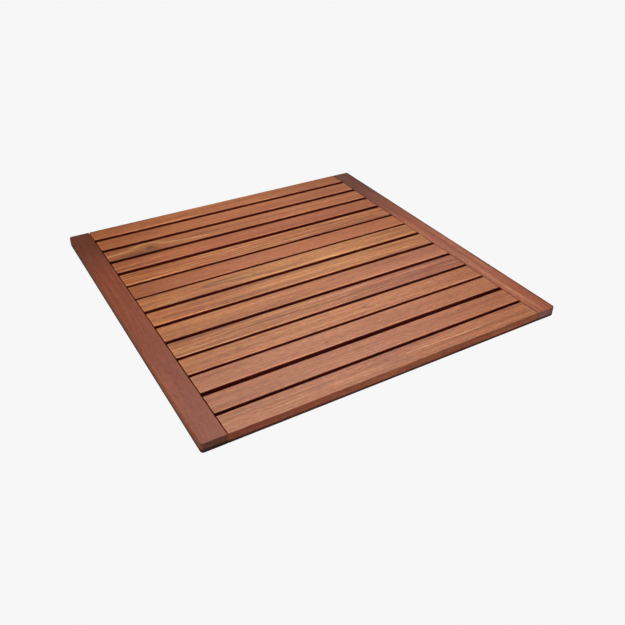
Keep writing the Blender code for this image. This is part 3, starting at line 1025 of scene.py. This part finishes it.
def makeFeetTree():
    tree, given = newTree("feet", {"Material": None}, takesMesh=True)
    shape = turnedShape(tree, feet["profile"], feet["sides"])
    shape = softEdges(tree, shape, feet["crispAngle"])
    endTree(tree, scattered(tree, given["Points"], shape, feet["seed"]), given["Material"])
    return tree


feetTree = makeFeetTree()
rubber = mottledMaterial("footRubber", rubberLook)
for side in sides:
    nodes = footNodes(side)
    piece = madeFrom(feetTree, side + "Feet", {"Material": rubber}, lowPoints(nodes))
    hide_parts(*nodes)
    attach(piece, "root")
print("feet ready")


studio = {
    "floor": linear(247, 247, 247),
    "floorSize": 12.0,
    "floorSteps": 40,
    "flatRadius": 4.0,  # beyond this the floor curves up into a backdrop
    "backdropRise": 0.75,
    "skyAbove": 0.04,
    "skyBelow": 0.40,  # stands in for the light that a pale floor throws back up
    "horizonBlur": 0.08,
    "lights": {  # bearing from +X towards +Y, height angle, distance and size in metres, watts
        "backSoftbox": (54.0, 53.0, 1.7, 1.05, 11.5),
        "overheadSoftbox": (90.0, 86.0, 2.6, 0.6, 37.0),
        "frontCard": (-85.0, 9.0, 2.2, 1.0, 11.0),
        "leftCard": (180.0, 3.0, 2.2, 0.8, 21.0),
    },
}


def makeFloor():
    form = bmesh.new()
    steps = studio["floorSteps"]
    half = studio["floorSize"] / 2
    bmesh.ops.create_grid(form, x_segments=steps, y_segments=steps, size=half)
    for vertex in form.verts:
        beyond = max(vertex.co.xy.length - studio["flatRadius"], 0.0)
        vertex.co.z = studio["backdropRise"] * beyond ** 2
    mesh = bpy.data.meshes.new("studioFloor")
    form.to_mesh(mesh)
    form.free()
    floor = bpy.data.objects.new("studioFloor", mesh)
    bpy.context.scene.collection.objects.link(floor)
    material, tree, shader = newMaterial("paleFloor")
    mesh.materials.append(material)
    shader.inputs["Base Color"].default_value = (0.0, 0.0, 0.0, 1.0)
    shader.inputs["Specular IOR Level"].default_value = 0.0
    shader.inputs["Emission Color"].default_value = (*studio["floor"], 1.0)
    shader.inputs["Emission Strength"].default_value = 1.0
    # the floor shows from above only, so that the underside can be looked at
    below = addNode(tree, "ShaderNodeNewGeometry", None, None, 6)
    clear = addNode(tree, "ShaderNodeBsdfTransparent")
    feeds = {0: below, 1: Wire(shader.outputs[0]), 2: clear}
    shown = addNode(tree, "ShaderNodeMixShader", None, feeds)
    tree.links.new(shown.socket, tree.nodes["Material Output"].inputs["Surface"])
    floor.visible_diffuse = False
    floor.visible_glossy = False
    floor.visible_shadow = False


def makeSky():
    world = bpy.data.worlds.new("studio")
    world.use_nodes = True
    tree = world.node_tree
    up = parts(addNode(tree, "ShaderNodeTexCoord"))[2]
    blur = studio["horizonBlur"]
    sky = between(studio["skyBelow"], studio["skyAbove"], ramp(up, -blur, blur))
    tree.links.new(sky.socket, tree.nodes["Background"].inputs["Strength"])
    tree.nodes["Background"].inputs["Color"].default_value = (1.0, 1.0, 1.0, 1.0)
    bpy.context.scene.world = world


def makeLight(name, bearing, height, distance, width, power):
    light = bpy.data.lights.new(name, "AREA")
    light.shape = "SQUARE"
    light.size = width
    light.energy = power
    lamp = bpy.data.objects.new(name, light)
    bearing, height = math.radians(bearing), math.radians(height)
    flat = math.cos(height) * distance
    up = math.sin(height) * distance
    lamp.location = (math.cos(bearing) * flat, math.sin(bearing) * flat, up)
    lamp.rotation_euler = lamp.location.to_track_quat("Z", "Y").to_euler()
    bpy.context.scene.collection.objects.link(lamp)


view = {
    "lens": 40.13,
    "sensor": 36.0,
    "place": (-0.5047, -0.8965, 0.6490),
    "turn": 31.14,  # degrees to the right of straight across the slats
    "tilt": 34.58,  # degrees down
    "roll": 0.83,
}


def makeCamera():
    data = bpy.data.cameras.new("camera")
    data.sensor_width = view["sensor"]
    data.lens = view["lens"]
    camera = bpy.data.objects.new("camera", data)
    turn = Matrix.Rotation(math.radians(-view["turn"]), 4, "Z")
    tilt = Matrix.Rotation(math.radians(90 - view["tilt"]), 4, "X")
    roll = Matrix.Rotation(math.radians(view["roll"]), 4, "Z")
    camera.matrix_world = Matrix.Translation(view["place"]) @ turn @ tilt @ roll
    bpy.context.scene.collection.objects.link(camera)
    bpy.context.scene.camera = camera


makeFloor()
makeSky()
for name, values in studio["lights"].items():
    makeLight(name, *values)
makeCamera()
bpy.context.scene.view_settings.view_transform = "Standard"
print("studio ready")
